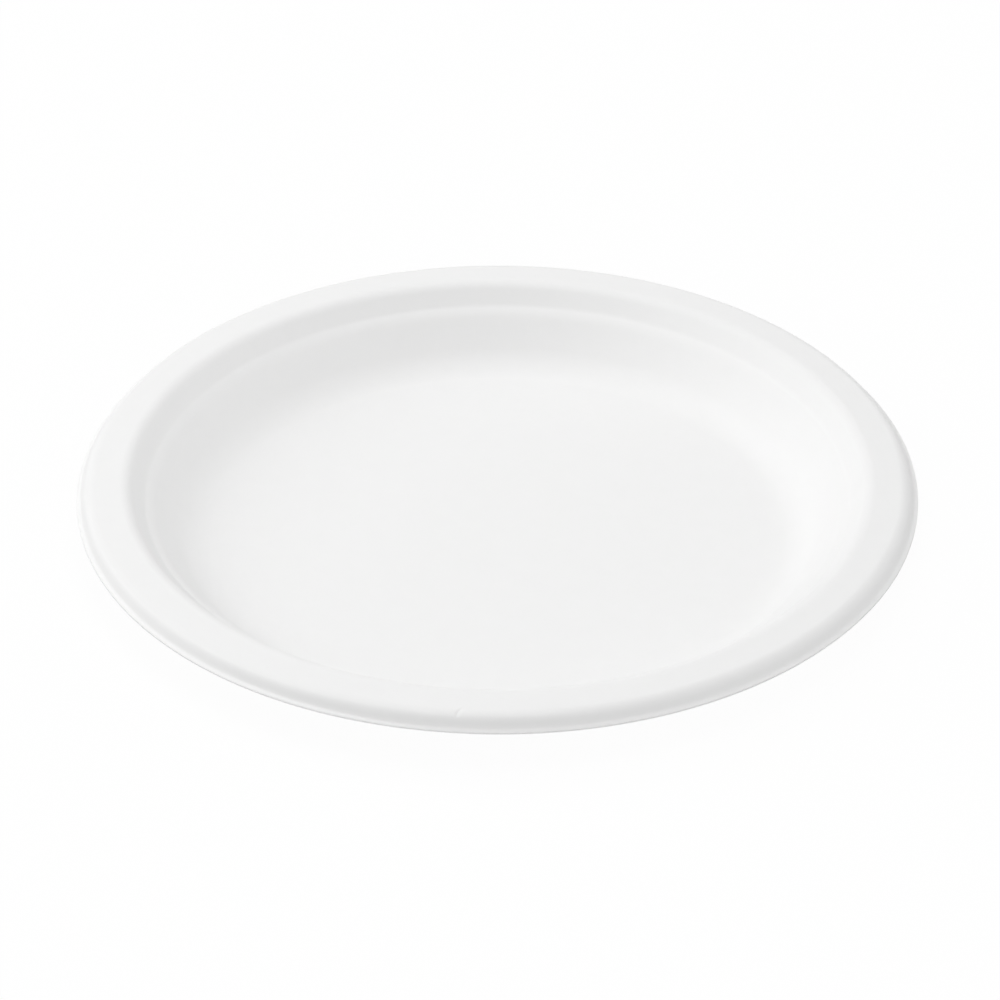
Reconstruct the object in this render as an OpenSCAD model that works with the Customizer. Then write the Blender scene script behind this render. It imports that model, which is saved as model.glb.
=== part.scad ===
// Round plate of moulded fibre, pressed in one piece from a single sheet of even thickness.
// The axis of the plate is Z, and the plate stands on the table at Z = 0.

/* [Plate] */
// Diameter over the trimmed edge, in mm
plate_d = 260; // [200:1:360]
// Height from the table to the top of the rim
plate_h = 20; // [18:0.5:40]
// Thickness of the moulded sheet
wall = 0.7; // [0.4:0.05:1.2]

/* [Well] */
// Slope of the side wall, in degrees from level
wall_slope = 46.5; // [35:0.5:60]
// Inside radius of the bend from the floor into the side wall
floor_bend_r = 15; // [5:0.5:36]

/* [Stacking ledge] */
// Height of the inner edge of the ledge over the table
ledge_h = 13.3; // [9:0.1:16]
// Width of the ledge, measured level
ledge_w = 2.4; // [1.5:0.1:6]
// Slope of the ledge, in degrees from level
ledge_slope = 27.5; // [10:0.5:32]
// Inside radius of the nose at the inner edge of the ledge
ledge_nose_r = 8.8; // [0.5:0.1:9]
// Inside radius of the hollow at the foot of the upper wall
ledge_root_r = 4; // [0.5:0.1:5]

/* [Rim] */
// Width of the rim, from the upper wall to the shoulder, measured level
rim_w = 12.4; // [8:0.1:24]
// Fall of the rim towards its outside, in degrees from level
rim_slope = 5.5; // [0:0.5:15]
// Inside radius of the crown, where the wall turns over into the rim
crown_r = 4.3; // [1:0.1:5]

/* [Rolled edge] */
// Height that the shoulder drops below the rim
shoulder_drop = 3.9; // [2.5:0.1:9]
// Slope of the shoulder, in degrees from level
shoulder_slope = 62.5; // [40:0.5:75]
// Inside radius of the bend from the rim into the shoulder
shoulder_r = 3.7; // [0.5:0.1:5]
// Width of the narrow lip outside the shoulder, measured level
lip_w = 1.2; // [0.6:0.1:4]
// Slope of the lip, in degrees from level
lip_slope = 32; // [0:1:35]
// Inside radius of the bend from the shoulder into the lip
lip_bend_r = 1.8; // [0.5:0.1:3.5]

/* [Hidden] */

fibre_white = [0.95, 0.95, 0.94];
round_facets = 96;
// Largest distance between an arc of the section and its chords
chord_gap = 0.03;
// Largest share of a straight stretch that the bends at its two ends may take up
bend_share = 0.95;

// How far the corner of the wall and the rim lies over the top of the arc that rounds it
crown_top_r = crown_r + wall;
crown_lift = crown_top_r * (cos((wall_slope - rim_slope) / 2) / cos((wall_slope + rim_slope) / 2) - 1);

// Corners of the upper face, worked out from the trimmed edge inwards
edge_x = plate_d / 2;
lip_x = edge_x - lip_w;
shoulder_x = lip_x - shoulder_drop / tan(shoulder_slope);
crown_x = shoulder_x - rim_w;
crown_z = plate_h + crown_lift;
shoulder_z = crown_z - rim_w * tan(rim_slope);
lip_z = shoulder_z - shoulder_drop;
edge_z = lip_z - lip_w * tan(lip_slope);
root_z = ledge_h + ledge_w * tan(ledge_slope);
root_x = crown_x - (crown_z - root_z) / tan(wall_slope);
nose_x = root_x - ledge_w;
floor_x = nose_x - (ledge_h - wall) / tan(wall_slope);

corners = [
    [0, wall],
    [floor_x, wall],
    [nose_x, ledge_h],
    [root_x, root_z],
    [crown_x, crown_z],
    [shoulder_x, shoulder_z],
    [lip_x, lip_z],
    [edge_x, edge_z]
];
// Inside radius of the bend at each corner, none at the axis and the trimmed edge
bends = [0, floor_bend_r, ledge_nose_r, ledge_root_r, crown_r, shoulder_r, lip_bend_r, 0];
last = len(corners) - 1;

// Direction of the straight stretch that starts at corner i, in degrees
function heading(i) = atan2(corners[i + 1].y - corners[i].y, corners[i + 1].x - corners[i].x);

// Angle that the section turns at corner i, positive where it turns upwards
function turn(i) = i == 0 || i == last ? 0 : heading(i) - heading(i - 1);

// Radius of the upper face at corner i, with the sheet's thickness added where the hollow is below
function face_r(i) = bends[i] + (turn(i) < 0 ? wall : 0);

// Length of straight stretch that the bend at corner i takes up on each side
function reach(i) = face_r(i) * tan(abs(turn(i)) / 2);

// Share of their radii that the bends at the two ends of stretch i can have without meeting
function room(i) =
    min(1, bend_share * norm(corners[i + 1] - corners[i]) / (reach(i) + reach(i + 1)));

// Radius of the upper face at corner i, kept within the stretches beside it
function fitted_r(i) = face_r(i) * min(room(i - 1), room(i));

// Point of the sheet at the angle of slope a on the bend at corner i, depth below the upper face
function bend_point(i, a, depth) =
    let (
        side = sign(turn(i)),
        r = fitted_r(i),
        middle = (heading(i - 1) + heading(i)) / 2,
        centre = corners[i] + side * r / cos(turn(i) / 2) * [-sin(middle), cos(middle)]
    )
    centre + (side * r + depth) * [sin(a), -cos(a)];

// Number of chords that keep the bend at corner i within the chord gap
function chords(i) = ceil(abs(turn(i)) / (2 * acos(1 - chord_gap / (fitted_r(i) + wall))));

// One face of the sheet between the axis and the edge, depth below the upper face
function face(depth) = [
    for (i = [1 : last - 1], step = [0 : chords(i)])
        bend_point(i, heading(i - 1) + turn(i) * step / chords(i), depth)
];

// The lower face ends straight below the upper one, where the edge is trimmed square to the table
edge_under = corners[last] - [0, wall / cos(lip_slope)];

function reversed(list) = [for (i = [len(list) - 1 : -1 : 0]) list[i]];

// Half section of the plate: upper face outwards, trimmed edge, lower face inwards
function section() = concat(
    [corners[0]],
    face(0),
    [corners[last], edge_under],
    reversed(face(wall)),
    [[0, 0]]
);

module plate() {
    color(fibre_white)
        rotate_extrude($fn = round_facets)
            polygon(section());
}

plate();
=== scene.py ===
import math

import bpy
import numpy as np
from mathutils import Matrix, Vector


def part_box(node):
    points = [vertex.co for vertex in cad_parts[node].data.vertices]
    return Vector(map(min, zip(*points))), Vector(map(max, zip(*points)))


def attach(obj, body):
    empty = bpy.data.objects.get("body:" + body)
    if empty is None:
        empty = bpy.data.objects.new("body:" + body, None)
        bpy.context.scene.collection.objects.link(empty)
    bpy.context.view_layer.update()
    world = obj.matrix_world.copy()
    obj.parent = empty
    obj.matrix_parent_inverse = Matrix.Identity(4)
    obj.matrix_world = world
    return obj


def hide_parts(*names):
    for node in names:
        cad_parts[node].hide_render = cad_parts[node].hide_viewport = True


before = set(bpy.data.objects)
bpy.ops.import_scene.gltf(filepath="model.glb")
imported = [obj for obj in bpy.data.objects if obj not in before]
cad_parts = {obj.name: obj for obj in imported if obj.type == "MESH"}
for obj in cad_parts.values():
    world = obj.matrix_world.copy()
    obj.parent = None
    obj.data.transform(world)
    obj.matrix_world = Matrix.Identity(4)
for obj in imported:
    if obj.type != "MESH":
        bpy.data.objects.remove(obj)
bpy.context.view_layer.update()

# All lengths are in metres and all angles in degrees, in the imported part's own frame.
MM = 0.001

# Sizes of the pressed section, measured in the photograph in proportion to the diameter
CAD_LOW, CAD_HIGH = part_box("plate")
PLATE_R = (CAD_HIGH.x - CAD_LOW.x) / 2
PLATE_H = CAD_HIGH.z
WALL = 0.7 * MM
WALL_SLOPE = 46.5
FLOOR_BEND_R = 15.0 * MM
LEDGE_H = 13.3 * MM
LEDGE_W = 2.4 * MM
LEDGE_SLOPE = 27.5
LEDGE_NOSE_R = 8.8 * MM
LEDGE_ROOT_R = 4.0 * MM
RIM_W = 12.4 * MM
RIM_SLOPE = 5.5
CROWN_R = 4.3 * MM
SHOULDER_DROP = 3.9 * MM
SHOULDER_SLOPE = 62.5
SHOULDER_R = 3.7 * MM
LIP_W = 1.2 * MM
LIP_SLOPE = 32.0
LIP_BEND_R = 1.8 * MM

# The sheet is pressed thinner towards the trimmed edge, and the edge's two corners are taken off
EDGE_WALL = 0.45 * MM
PINCH_W = 1.6 * MM
EDGE_SOFTENING = 0.1 * MM
EDGE_CORNER_SHARE = 0.3

# The short crease across the front of the shoulder: the place of its outer end, how far it runs
# inwards and leans aside, its depth, and the widths of its steep and its gentle flank
CREASE_AZIMUTH = 264.33
CREASE_OUTER_R = 127.4 * MM
CREASE_RUN = 4.0 * MM
CREASE_LEAN = 2.2 * MM
CREASE_DEPTH = 0.2 * MM
CREASE_STEEP_WIDTH = 0.3 * MM
CREASE_GENTLE_WIDTH = 1.1 * MM
# Shares of its run: over how much its depth fades at each end, and how far it passes the outer end
CREASE_FADE = 0.35
CREASE_OVERRUN = 0.1

# Places where the shoulder is pressed fuller or hollower:
# azimuth, half width in degrees, radius, half width of that, height
UNEVEN_PLACES = [
    (270.0, 14.0, 127.4 * MM, 1.2 * MM, 0.2 * MM),
    (268.5, 3.0, 125.7 * MM, 1.5 * MM, 0.08 * MM),
    (222.0, 30.0, 126.8 * MM, 0.9 * MM, 0.24 * MM),
    (260.0, 32.0, 128.6 * MM, 0.6 * MM, -0.2 * MM),
]

# How far the rim dips below level, at most, and the share of the radius at which that begins
RIM_DIP = 0.12 * MM
DIP_START = 0.8
DIP_WAVES = (2, 3, 5)
DIP_SEED = 9

# How far the trimming die wandered inwards, at most
TRIM_WANDER = 0.16 * MM
TRIM_WAVES = (3, 5, 7, 11, 17)
TRIM_SEED = 4

# Fineness of the mesh: the turn from point to point in a bend, and the lengths on each stretch
UPPER_STEPS = {
    "bend": 3.0,
    "floor": 8.0 * MM,
    "wall": 1.6 * MM,
    "rim": 0.5 * MM,
    "shoulder": 0.3 * MM,
    "lip": 0.3 * MM,
}
LOWER_STEPS = {
    "bend": 6.0,
    "floor": 16.0 * MM,
    "wall": 3.2 * MM,
    "rim": 3.2 * MM,
    "shoulder": 0.6 * MM,
    "lip": 0.3 * MM,
}

# Degrees from column to column around the plate, and within a span to both sides of the crease
AROUND_STEP = 1.0
CREASE_SPAN = 2.5
CREASE_STEP = 0.1

# Colours of the fibre
FIBRE_WHITE = (0.898, 0.898, 0.896, 1.0)
FIBRE_SHADE = (0.893, 0.893, 0.891, 1.0)
FIBRE_STRAND = (0.885, 0.884, 0.880, 1.0)
FIBRE_ROUGHNESS = (0.7, 0.84)
FIBRE_SPECULAR = 0.3

# Sizes of the clouds in the fibre, of its flocs and grain, and of the weave of the forming screen
CLOUD = 7.0 * MM
FLOC = CLOUD / 4
GRAIN = 0.4 * MM
SCREEN_PITCH = 1.1 * MM
CLOUD_DETAIL = 3.0
FLOC_DETAIL = 3.0
GRAIN_DETAIL = 2.0

# The single fibres: their size, and the angles by which each layer of them is turned
STRAND_LENGTH = 3.0 * MM
STRAND_WIDTH = 0.22 * MM
STRAND_TURNS = ((20, 8, 12), (-14, 22, 58), (9, -17, 101), (-23, -6, 147))
STRAND_DETAIL = 1.0

# Levels of the noise between which each layer comes in
CLOUD_LEVELS = (0.35, 0.65)
FLOC_LEVELS = (0.3, 0.7)
STRAND_LEVELS = (0.6, 0.78)

# How high each layer stands, in millimetres
WEAVE_HEIGHT = 0.06
FLOC_HEIGHT = 0.003
GRAIN_HEIGHT = 0.01
STRAND_HEIGHT = 0.004

# The camera, as the photograph shows the plate
PHOTO_SIDE_PX = 1000
PLATE_RADIUS_PX = 421.1
RIM_CENTRE_PX = (497.5, 481.1)
ELEVATION = 33.36
CAMERA_DISTANCE = 4.5
SENSOR = 36.0

# The floor, and how much of it is seen as plain white, with the plate's shadow in the rest
FLOOR_HALF = 4.0
FLOOR_GAP = 0.05 * MM
FLOOR_GREY = (0.9, 0.9, 0.9, 1.0)
FLOOR_ROUGHNESS = 0.9
FLOOR_WHITE_SHARE = 0.97

# The studio's even light from all round, and its softboxes: name, azimuth, elevation and watts
WHITE = (1.0, 1.0, 1.0, 1.0)
WORLD_STRENGTH = 0.142
LAMPS = [
    ("key", 150, 28, 20.0),
    ("high_back", 120, 55, 12.4),
    ("overhead", 285, 70, 16.5),
    ("zenith", 0, 88, 13.2),
    ("right_fill", 15, 18, 12.7),
    ("front_fill", 255, 18, 9.1),
    ("left_fill", 200, 20, 3.7),
]
LAMP_SIZE = 1.2
LAMP_DISTANCE = 2.5


def tan(degrees):
    return math.tan(math.radians(degrees))


def cos(degrees):
    return math.cos(math.radians(degrees))


def sin(degrees):
    return math.sin(math.radians(degrees))


def add_object(name, data):
    """A new object in the scene, at the origin."""
    new = bpy.data.objects.new(name, data)
    bpy.context.scene.collection.objects.link(new)
    return new


# The turned section


def section_corners():
    """Corners of the upper face from the axis to the trimmed edge.

    Each has the inside radius of its bend, and the name of the stretch that leads to it.
    """
    crown_top_r = CROWN_R + WALL
    half_sum = (WALL_SLOPE + RIM_SLOPE) / 2
    half_difference = (WALL_SLOPE - RIM_SLOPE) / 2
    crown_lift = crown_top_r * (cos(half_difference) / cos(half_sum) - 1)
    lip_x = PLATE_R - LIP_W
    shoulder_x = lip_x - SHOULDER_DROP / tan(SHOULDER_SLOPE)
    crown_x = shoulder_x - RIM_W
    crown_z = PLATE_H + crown_lift
    shoulder_z = crown_z - RIM_W * tan(RIM_SLOPE)
    lip_z = shoulder_z - SHOULDER_DROP
    edge_z = lip_z - LIP_W * tan(LIP_SLOPE)
    root_z = LEDGE_H + LEDGE_W * tan(LEDGE_SLOPE)
    root_x = crown_x - (crown_z - root_z) / tan(WALL_SLOPE)
    nose_x = root_x - LEDGE_W
    floor_x = nose_x - (LEDGE_H - WALL) / tan(WALL_SLOPE)
    return [
        ((0.0, WALL), 0.0, None),
        ((floor_x, WALL), FLOOR_BEND_R, "floor"),
        ((nose_x, LEDGE_H), LEDGE_NOSE_R, "wall"),
        ((root_x, root_z), LEDGE_ROOT_R, "wall"),
        ((crown_x, crown_z), CROWN_R, "wall"),
        ((shoulder_x, shoulder_z), SHOULDER_R, "rim"),
        ((lip_x, lip_z), LIP_BEND_R, "shoulder"),
        ((PLATE_R, edge_z), 0.0, "lip"),
    ]


def smooth(t):
    """Rises from 0 to 1 as t goes from 0 to 1, level at both ends."""
    t = np.clip(t, 0.0, 1.0)
    return t * t * (3 - 2 * t)


def straight(start, end, step):
    """Points from start up to but not including end, no further apart than step."""
    count = max(1, math.ceil(np.linalg.norm(end - start) / step))
    return [start + (end - start) * i / count for i in range(count)]


def face_points(depth, steps):
    """One face of the sheet from the axis to the trimmed edge, depth below the upper face."""
    corners = section_corners()
    points = [np.array(point) for point, bend_r, stretch in corners]
    headings = [math.atan2(*(b - a)[::-1]) for a, b in zip(points, points[1:])]
    path = []
    here = points[0] - np.array((0.0, depth))
    for i in range(1, len(points) - 1):
        point, bend_r, stretch = corners[i]
        turn = headings[i] - headings[i - 1]
        side = math.copysign(1.0, turn)
        radius = bend_r + (WALL if turn < 0 else 0.0)
        middle = (headings[i] + headings[i - 1]) / 2
        towards = np.array((-math.sin(middle), math.cos(middle)))
        centre = points[i] + towards * side * radius / math.cos(turn / 2)
        count = max(2, math.ceil(abs(math.degrees(turn)) / steps["bend"]))
        angles = [headings[i - 1] + turn * k / count for k in range(count + 1)]
        bend = [
            centre + (side * radius + depth) * np.array((math.sin(a), -math.cos(a)))
            for a in angles
        ]
        path += straight(here, bend[0], steps[stretch])
        path += bend[:-1]
        here = bend[-1]
    edge = points[-1] - np.array((0.0, depth / cos(LIP_SLOPE)))
    return path + straight(here, edge, steps["lip"]) + [edge]


def pinched(lower):
    """The lower face, raised towards the trimmed edge to where the sheet is pressed thinner."""
    rise = [(WALL - EDGE_WALL) * smooth((point[0] - PLATE_R) / PINCH_W + 1) for point in lower]
    return [point + np.array((0.0, height)) for point, height in zip(lower, rise)]


def softened_edge(upper, lower):
    """The trimmed edge between the last points of the two faces, with its corners taken off."""
    along_lip = np.array((-cos(LIP_SLOPE), sin(LIP_SLOPE))) * EDGE_SOFTENING
    down = np.array((0.0, -EDGE_SOFTENING))
    return [
        upper + along_lip,
        upper + (along_lip + down) * EDGE_CORNER_SHARE,
        upper + down,
        (upper + lower) / 2,
        lower - down,
        lower + (along_lip - down) * EDGE_CORNER_SHARE,
        lower + along_lip,
    ]


# Departures of the pressed sheet from the true turned form


def slow_waves(azimuths, orders, seed):
    """A slow unevenness around the plate, between 0 and 1."""
    rng = np.random.default_rng(seed)
    total = sum(
        np.cos(order * azimuths + rng.uniform(0, 2 * math.pi)) / order
        for order in orders
    )
    return (total - total.min()) / (total.max() - total.min())


def shoulder_relief(r, azimuths):
    """How far the sheet stands out of the true shoulder: the crease and the uneven places."""
    degrees = np.degrees(azimuths)
    along = (CREASE_OUTER_R - r) / CREASE_RUN
    lean = CREASE_LEAN * np.clip(along, 0, 1) ** 2
    across = (azimuths - math.radians(CREASE_AZIMUTH)) * r - lean
    outer_end = smooth((along + CREASE_OVERRUN) / CREASE_FADE)
    inner_end = smooth((1.0 - along) / CREASE_FADE)
    half_width = np.where(across < 0, CREASE_STEEP_WIDTH, CREASE_GENTLE_WIDTH)
    relief = -CREASE_DEPTH * (outer_end * inner_end) * np.exp(-((across / half_width) ** 2))
    for azimuth, spread, place, reach, height in UNEVEN_PLACES:
        window = np.exp(-(((r - place) / reach) ** 2))
        relief += height * window * np.exp(-(((degrees - azimuth) / spread) ** 2))
    return relief


def pressed(section, azimuths):
    """Radius and height of every point of the sheet, with its slight departures."""
    r = np.repeat(section[:, 0][:, None], len(azimuths), 1)
    z = np.repeat(section[:, 1][:, None], len(azimuths), 1)
    relief = shoulder_relief(r, azimuths[None, :])
    outwards = (RIM_SLOPE + SHOULDER_SLOPE) / 2
    at_lip = smooth((r - (PLATE_R - LIP_W)) / LIP_W)
    wander = TRIM_WANDER * slow_waves(azimuths, TRIM_WAVES, TRIM_SEED) * at_lip
    at_rim = smooth((r / PLATE_R - DIP_START) / (1 - DIP_START))
    dip = RIM_DIP * slow_waves(azimuths, DIP_WAVES, DIP_SEED) * at_rim
    r = r + relief * sin(outwards) - wander
    z = z + relief * cos(outwards) + wander * tan(LIP_SLOPE) - dip
    return r, z


def column_azimuths():
    """Azimuths of the mesh's columns in radians, closer together across the crease."""
    start, end = CREASE_AZIMUTH - CREASE_SPAN, CREASE_AZIMUTH + CREASE_SPAN
    fine = np.arange(start, end, CREASE_STEP)
    coarse_count = round((360 - 2 * CREASE_SPAN) / AROUND_STEP)
    coarse = np.linspace(end, start + 360, coarse_count, endpoint=False)
    return np.radians(np.sort(np.concatenate([fine, coarse]) % 360))


def build_plate():
    """The whole sheet as one closed mesh, turned about Z."""
    upper = face_points(0.0, UPPER_STEPS)
    lower = pinched(face_points(WALL, LOWER_STEPS))
    edge = softened_edge(upper[-1], lower[-1])
    section = np.array(upper[1:-1] + edge + lower[-2:0:-1])
    azimuths = column_azimuths()
    around, rings = len(azimuths), len(section)
    r, z = pressed(section, azimuths)
    points = np.stack([r * np.cos(azimuths), r * np.sin(azimuths), z], 2).reshape(-1, 3)
    vertices = points.tolist() + [(0.0, 0.0, WALL), (0.0, 0.0, 0.0)]
    top_centre, bottom_centre = rings * around, rings * around + 1
    last_ring = (rings - 1) * around
    faces = []
    for k in range(around):
        after = (k + 1) % around
        for ring in range(0, last_ring, around):
            faces.append((ring + k, ring + around + k, ring + around + after, ring + after))
        faces.append((top_centre, k, after))
        faces.append((bottom_centre, last_ring + after, last_ring + k))
    mesh = bpy.data.meshes.new("plate_sheet")
    mesh.from_pydata(vertices, [], faces)
    mesh.polygons.foreach_set("use_smooth", [True] * len(faces))
    first_below = (len(upper) - 2 + len(edge)) * around
    underneath = np.zeros(len(vertices))
    underneath[first_below:top_centre] = 1.0
    underneath[bottom_centre] = 1.0
    mesh.attributes.new("underneath", "FLOAT", "POINT").data.foreach_set("value", underneath)
    mesh.update()
    return add_object("plate_sheet", mesh)


# Materials


class Nodes:
    """Short ways to add nodes to a material or to the world."""

    def __init__(self, owner):
        owner.use_nodes = True
        self.nodes, self.links = owner.node_tree.nodes, owner.node_tree.links

    def put(self, socket, value):
        """Links the socket to another one, or sets it to a plain value."""
        if isinstance(value, bpy.types.NodeSocket):
            self.links.new(value, socket)
        else:
            socket.default_value = value

    def math(self, operation, a, b=0.0):
        node = self.nodes.new("ShaderNodeMath")
        node.operation = operation
        self.put(node.inputs[0], a)
        self.put(node.inputs[1], b)
        return node.outputs[0]

    def spread(self, value, levels, results=(0.0, 1.0)):
        """The value, spread from between the two levels to between the two results."""
        node = self.nodes.new("ShaderNodeMapRange")
        node.inputs["From Min"].default_value, node.inputs["From Max"].default_value = levels
        node.inputs["To Min"].default_value, node.inputs["To Max"].default_value = results
        self.put(node.inputs["Value"], value)
        return node.outputs["Result"]

    def noise(self, place, size, detail):
        node = self.nodes.new("ShaderNodeTexNoise")
        node.inputs["Scale"].default_value = 1 / size
        node.inputs["Detail"].default_value = detail
        self.put(node.inputs["Vector"], place)
        return node.outputs["Fac"]

    def laid(self, place, turn, size):
        """Coordinates turned by the three angles and then measured in the three sizes."""
        node = self.nodes.new("ShaderNodeMapping")
        node.vector_type = "TEXTURE"
        node.inputs["Rotation"].default_value = [math.radians(angle) for angle in turn]
        node.inputs["Scale"].default_value = size
        self.put(node.inputs["Vector"], place)
        return node.outputs["Vector"]

    def blend(self, share, a, b):
        """Colour a, with the share of colour b in it."""
        node = self.nodes.new("ShaderNodeMix")
        node.data_type = "RGBA"
        self.put(node.inputs["Factor"], share)
        self.put(node.inputs["A"], a)
        self.put(node.inputs["B"], b)
        return node.outputs["Result"]

    def blend_shaders(self, share, a, b):
        """Shader a, with the share of shader b in it."""
        node = self.nodes.new("ShaderNodeMixShader")
        self.put(node.inputs[0], share)
        self.put(node.inputs[1], a)
        self.put(node.inputs[2], b)
        return node.outputs[0]


def fibre_material():
    """White pressed fibre, matt and faintly clouded, with the screen's weave underneath."""
    material = bpy.data.materials.new("moulded_fibre")
    n = Nodes(material)
    shader = n.nodes["Principled BSDF"]
    place = n.nodes.new("ShaderNodeTexCoord").outputs["Object"]

    cloud = n.noise(place, CLOUD, CLOUD_DETAIL)
    floc = n.noise(place, FLOC, FLOC_DETAIL)
    grain = n.noise(place, GRAIN, GRAIN_DETAIL)
    strands = None
    for turn in STRAND_TURNS:
        laid = n.laid(place, turn, (STRAND_LENGTH, STRAND_WIDTH, STRAND_WIDTH))
        strand = n.spread(n.noise(laid, 1.0, STRAND_DETAIL), STRAND_LEVELS)
        strands = strand if strands is None else n.math("MAXIMUM", strands, strand)

    colour = n.blend(n.spread(cloud, CLOUD_LEVELS), FIBRE_SHADE, FIBRE_WHITE)
    n.put(shader.inputs["Base Color"], n.blend(strands, colour, FIBRE_STRAND))
    n.put(shader.inputs["Roughness"], n.spread(floc, FLOC_LEVELS, FIBRE_ROUGHNESS))
    shader.inputs["Specular IOR Level"].default_value = FIBRE_SPECULAR

    split = n.nodes.new("ShaderNodeSeparateXYZ")
    n.put(split.inputs[0], place)
    wave = 2 * math.pi / SCREEN_PITCH
    weave = n.math(
        "MULTIPLY",
        n.math("SINE", n.math("MULTIPLY", split.outputs["X"], wave)),
        n.math("SINE", n.math("MULTIPLY", split.outputs["Y"], wave)),
    )
    attribute = n.nodes.new("ShaderNodeAttribute")
    attribute.attribute_name = "underneath"
    weave = n.math("MULTIPLY", weave, attribute.outputs["Fac"])
    height = n.math("MULTIPLY", weave, WEAVE_HEIGHT)
    layers = ((floc, FLOC_HEIGHT), (grain, GRAIN_HEIGHT), (strands, STRAND_HEIGHT))
    for layer, layer_height in layers:
        height = n.math("ADD", height, n.math("MULTIPLY", layer, layer_height))
    bump = n.nodes.new("ShaderNodeBump")
    bump.inputs["Strength"].default_value = 1.0
    bump.inputs["Distance"].default_value = MM
    n.put(bump.inputs["Height"], height)
    n.put(shader.inputs["Normal"], bump.outputs["Normal"])
    return material


# The studio


def set_camera():
    """A long lens, so that the plate has the place and size that it has in the photograph."""
    camera = add_object("camera", bpy.data.cameras.new("camera"))
    px_per_m = PLATE_RADIUS_PX / PLATE_R
    camera.data.sensor_width = SENSOR
    camera.data.lens = px_per_m * SENSOR * CAMERA_DISTANCE / PHOTO_SIDE_PX
    forward = Vector((0.0, cos(ELEVATION), -sin(ELEVATION)))
    right = Vector((1.0, 0.0, 0.0))
    up = right.cross(forward)
    rim_centre = Vector((0.0, 0.0, PLATE_H))
    across = (PHOTO_SIDE_PX / 2 - RIM_CENTRE_PX[0]) / px_per_m
    below = (PHOTO_SIDE_PX / 2 - RIM_CENTRE_PX[1]) / px_per_m
    aim = rim_centre + right * across - up * below
    camera.location = aim - forward * CAMERA_DISTANCE
    camera.rotation_euler = forward.to_track_quat("-Z", "Y").to_euler()
    camera.data.dof.use_dof = False
    bpy.context.scene.camera = camera


def set_floor():
    """A plain pale floor that keeps the plate's shadow, and shows nearly white behind it."""
    mesh = bpy.data.meshes.new("floor")
    corners = [(FLOOR_HALF * x, FLOOR_HALF * y, 0) for x, y in ((-1, -1), (1, -1), (1, 1), (-1, 1))]
    mesh.from_pydata(corners, [], [(0, 1, 2, 3)])
    floor = add_object("floor", mesh)
    floor.location.z = -FLOOR_GAP
    material = bpy.data.materials.new("floor")
    n = Nodes(material)
    shader = n.nodes["Principled BSDF"]
    shader.inputs["Base Color"].default_value = FLOOR_GREY
    shader.inputs["Roughness"].default_value = FLOOR_ROUGHNESS
    shader.inputs["Specular IOR Level"].default_value = 0.0
    path = n.nodes.new("ShaderNodeLightPath")
    seen = n.math("MAXIMUM", path.outputs["Is Camera Ray"], path.outputs["Is Glossy Ray"])
    seen = n.math("MAXIMUM", seen, path.outputs["Is Transmission Ray"])
    white = n.nodes.new("ShaderNodeEmission").outputs[0]
    white_share = n.math("MULTIPLY", seen, FLOOR_WHITE_SHARE)
    surface = n.blend_shaders(white_share, shader.outputs[0], white)
    n.put(n.nodes["Material Output"].inputs["Surface"], surface)
    floor.data.materials.append(material)


def set_world():
    """Even light from all round, which the camera sees as white."""
    world = bpy.data.worlds.new("studio")
    bpy.context.scene.world = world
    n = Nodes(world)
    light = n.nodes["Background"]
    light.inputs["Color"].default_value = WHITE
    light.inputs["Strength"].default_value = WORLD_STRENGTH
    white = n.nodes.new("ShaderNodeBackground")
    white.inputs["Color"].default_value = WHITE
    path = n.nodes.new("ShaderNodeLightPath")
    seen = path.outputs["Is Camera Ray"]
    surface = n.blend_shaders(seen, light.outputs[0], white.outputs[0])
    n.put(n.nodes["World Output"].inputs["Surface"], surface)


def add_softbox(name, azimuth, elevation, power):
    """A square area lamp that faces the plate."""
    data = bpy.data.lights.new(name, "AREA")
    data.size = LAMP_SIZE
    data.energy = power
    lamp = add_object(name, data)
    level = cos(elevation)
    place = Vector((cos(azimuth) * level, sin(azimuth) * level, sin(elevation)))
    lamp.location = place * LAMP_DISTANCE
    lamp.rotation_euler = (-place).to_track_quat("-Z", "Y").to_euler()


plate = build_plate()
plate.data.materials.append(fibre_material())
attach(plate, "root")
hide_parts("plate")

set_camera()
set_floor()
set_world()
for lamp_facts in LAMPS:
    add_softbox(*lamp_facts)
bpy.context.scene.view_settings.view_transform = "Standard"
